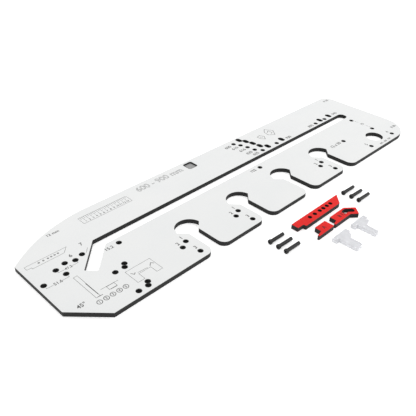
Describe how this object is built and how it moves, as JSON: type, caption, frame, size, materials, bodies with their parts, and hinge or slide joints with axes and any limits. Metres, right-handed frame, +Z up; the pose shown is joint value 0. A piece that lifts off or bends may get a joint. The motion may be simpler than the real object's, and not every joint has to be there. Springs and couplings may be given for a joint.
{
  "type": "worktop routing jig kit",
  "caption": "Long flat white routing jig with guide slot, keyhole templates and peg holes, with loose pegs, red stop bar and hooks, and clear T keys.",
  "frame": {"origin": "middle of the whole kit's footprint, on the surface it lies on", "axes": "+X along the jig plate towards its rounded end, +Y across it from the loose pieces, +Z up from the surface"},
  "size_m": [1.225, 0.5354, 0.0121],
  "materials": {
    "laminate_core": "dark machined compact laminate edge",
    "white_laminate": "satin white laminate",
    "red_laminate": "satin red laminate",
    "badge_tile": "plain grey tile",
    "peg_plastic": "black moulded plastic",
    "clear_plastic": "clear moulded plastic"
  },
  "bodies": {
    "jig_plate": {"plate_core": "laminate_core", "plate_top_face": "white_laminate", "badge_tile": "badge_tile"},
    "stop_bar": {"stop_bar_core": "laminate_core", "stop_bar_top_face": "red_laminate", "stop_bar_underside_face": "red_laminate"},
    "short_hook": {"short_hook_core": "laminate_core", "short_hook_top_face": "red_laminate", "short_hook_underside_face": "red_laminate"},
    "long_hook": {"long_hook_core": "laminate_core", "long_hook_top_face": "red_laminate", "long_hook_underside_face": "red_laminate"},
    "peg_1": {"peg_1": "peg_plastic"},
    "peg_2": {"peg_2": "peg_plastic"},
    "peg_3": {"peg_3": "peg_plastic"},
    "peg_4": {"peg_4": "peg_plastic"},
    "peg_5": {"peg_5": "peg_plastic"},
    "peg_6": {"peg_6": "peg_plastic"},
    "wide_key": {"wide_key": "clear_plastic"},
    "narrow_key": {"narrow_key": "clear_plastic"}
  },
  "joints": [
    {"name": "stop_bar_lift", "type": "slide", "parent": "jig_plate", "child": "stop_bar", "axis": [0, 0, 1], "range_m": [0, 0.06]},
    {"name": "short_hook_lift", "type": "slide", "parent": "jig_plate", "child": "short_hook", "axis": [0, 0, 1], "range_m": [0, 0.06]},
    {"name": "long_hook_lift", "type": "slide", "parent": "jig_plate", "child": "long_hook", "axis": [0, 0, 1], "range_m": [0, 0.06]},
    {"name": "peg_1_lift", "type": "slide", "parent": "jig_plate", "child": "peg_1", "axis": [0, 0, 1], "range_m": [0, 0.05]},
    {"name": "peg_2_lift", "type": "slide", "parent": "jig_plate", "child": "peg_2", "axis": [0, 0, 1], "range_m": [0, 0.05]},
    {"name": "peg_3_lift", "type": "slide", "parent": "jig_plate", "child": "peg_3", "axis": [0, 0, 1], "range_m": [0, 0.05]},
    {"name": "peg_4_lift", "type": "slide", "parent": "jig_plate", "child": "peg_4", "axis": [0, 0, 1], "range_m": [0, 0.05]},
    {"name": "peg_5_lift", "type": "slide", "parent": "jig_plate", "child": "peg_5", "axis": [0, 0, 1], "range_m": [0, 0.05]},
    {"name": "peg_6_lift", "type": "slide", "parent": "jig_plate", "child": "peg_6", "axis": [0, 0, 1], "range_m": [0, 0.05]},
    {"name": "wide_key_lift", "type": "slide", "parent": "jig_plate", "child": "wide_key", "axis": [0, 0, 1], "range_m": [0, 0.06]},
    {"name": "narrow_key_lift", "type": "slide", "parent": "jig_plate", "child": "narrow_key", "axis": [0, 0, 1], "range_m": [0, 0.06]}
  ]
}
